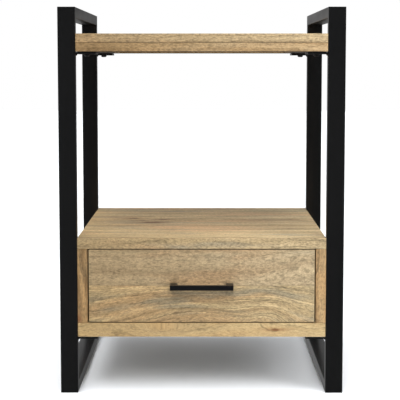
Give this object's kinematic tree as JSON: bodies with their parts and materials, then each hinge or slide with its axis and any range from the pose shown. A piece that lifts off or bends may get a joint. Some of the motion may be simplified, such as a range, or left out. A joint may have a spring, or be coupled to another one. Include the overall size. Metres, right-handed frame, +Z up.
{
  "type": "side table",
  "caption": "Side table with rectangular black metal tube side frames, a thick wooden top, an open shelf bay and a low wooden cabinet with a bar-handled drawer.",
  "frame": {"origin": "on the floor, at the middle of the bounding box's bottom face; the box includes the handle, which stands out in front of the side frames", "axes": "+Z up, -Y is the front with the drawer, +X is to the right seen from the front"},
  "size_m": [0.508, 0.534, 0.691],
  "materials": {
    "frame_powder_coat": "satin black powder coat",
    "mango_wood": "light natural mango wood, satin clear lacquer",
    "drawer_box_wood": "plain pale wood, sanded, thin lacquer",
    "plywood": "pale veneered plywood, matt",
    "handle_black": "satin black",
    "black_bolts": "black oxide",
    "zinc_steel": "bright zinc plate"
  },
  "bodies": {
    "table": {"cabinet_back": "plywood", "cabinet_bolt_left_back": "black_bolts", "cabinet_bolt_left_front": "black_bolts", "cabinet_bolt_right_back": "black_bolts", "cabinet_bolt_right_front": "black_bolts", "cabinet_bottom": "mango_wood", "cabinet_plate_left_back": "frame_powder_coat", "cabinet_plate_left_front": "frame_powder_coat", "cabinet_plate_right_back": "frame_powder_coat", "cabinet_plate_right_front": "frame_powder_coat", "cabinet_side_left": "mango_wood", "cabinet_side_right": "mango_wood", "cabinet_top": "mango_wood", "left_back_post": "frame_powder_coat", "left_bottom_rail": "frame_powder_coat", "left_cabinet_slide_screw_back": "zinc_steel", "left_cabinet_slide_screw_front": "zinc_steel", "left_front_post": "frame_powder_coat", "left_slide_cabinet_channel": "zinc_steel", "left_top_rail": "frame_powder_coat", "right_back_post": "frame_powder_coat", "right_bottom_rail": "frame_powder_coat", "right_cabinet_slide_screw_back": "zinc_steel", "right_cabinet_slide_screw_front": "zinc_steel", "right_front_post": "frame_powder_coat", "right_slide_cabinet_channel": "zinc_steel", "right_top_rail": "frame_powder_coat", "tabletop_bolt_left_back": "black_bolts", "tabletop_bolt_left_front": "black_bolts", "tabletop_bolt_right_back": "black_bolts", "tabletop_bolt_right_front": "black_bolts", "tabletop_lipping_back": "mango_wood", "tabletop_lipping_front": "mango_wood", "tabletop_lipping_left": "mango_wood", "tabletop_lipping_right": "mango_wood", "tabletop_panel": "mango_wood", "tabletop_plate_left_back": "frame_powder_coat", "tabletop_plate_left_front": "frame_powder_coat", "tabletop_plate_right_back": "frame_powder_coat", "tabletop_plate_right_front": "frame_powder_coat"},
    "drawer": {"drawer_back": "drawer_box_wood", "drawer_bottom": "plywood", "drawer_front": "mango_wood", "drawer_side_left": "drawer_box_wood", "drawer_side_right": "drawer_box_wood", "handle": "handle_black", "handle_screw_left": "zinc_steel", "handle_screw_right": "zinc_steel", "left_drawer_slide_screw_back": "zinc_steel", "left_drawer_slide_screw_front": "zinc_steel", "left_slide_drawer_channel": "zinc_steel", "right_drawer_slide_screw_back": "zinc_steel", "right_drawer_slide_screw_front": "zinc_steel", "right_slide_drawer_channel": "zinc_steel"},
    "left_slide_middle": {"left_slide_middle_channel": "zinc_steel"},
    "right_slide_middle": {"right_slide_middle_channel": "zinc_steel"}
  },
  "joints": [
    {"name": "drawer_slide", "type": "slide", "parent": "table", "child": "drawer", "axis": [0, -1, 0], "range_m": [0, 0.44]},
    {"name": "left_middle_slide", "type": "slide", "parent": "table", "child": "left_slide_middle", "axis": [0, -1, 0], "range_m": [0, 0.22]},
    {"name": "right_middle_slide", "type": "slide", "parent": "table", "child": "right_slide_middle", "axis": [0, -1, 0], "range_m": [0, 0.22]}
  ],
  "couplings": [
    {"joint": "left_middle_slide", "follows": "drawer_slide", "ratio": 0.5},
    {"joint": "right_middle_slide", "follows": "drawer_slide", "ratio": 0.5}
  ]
}
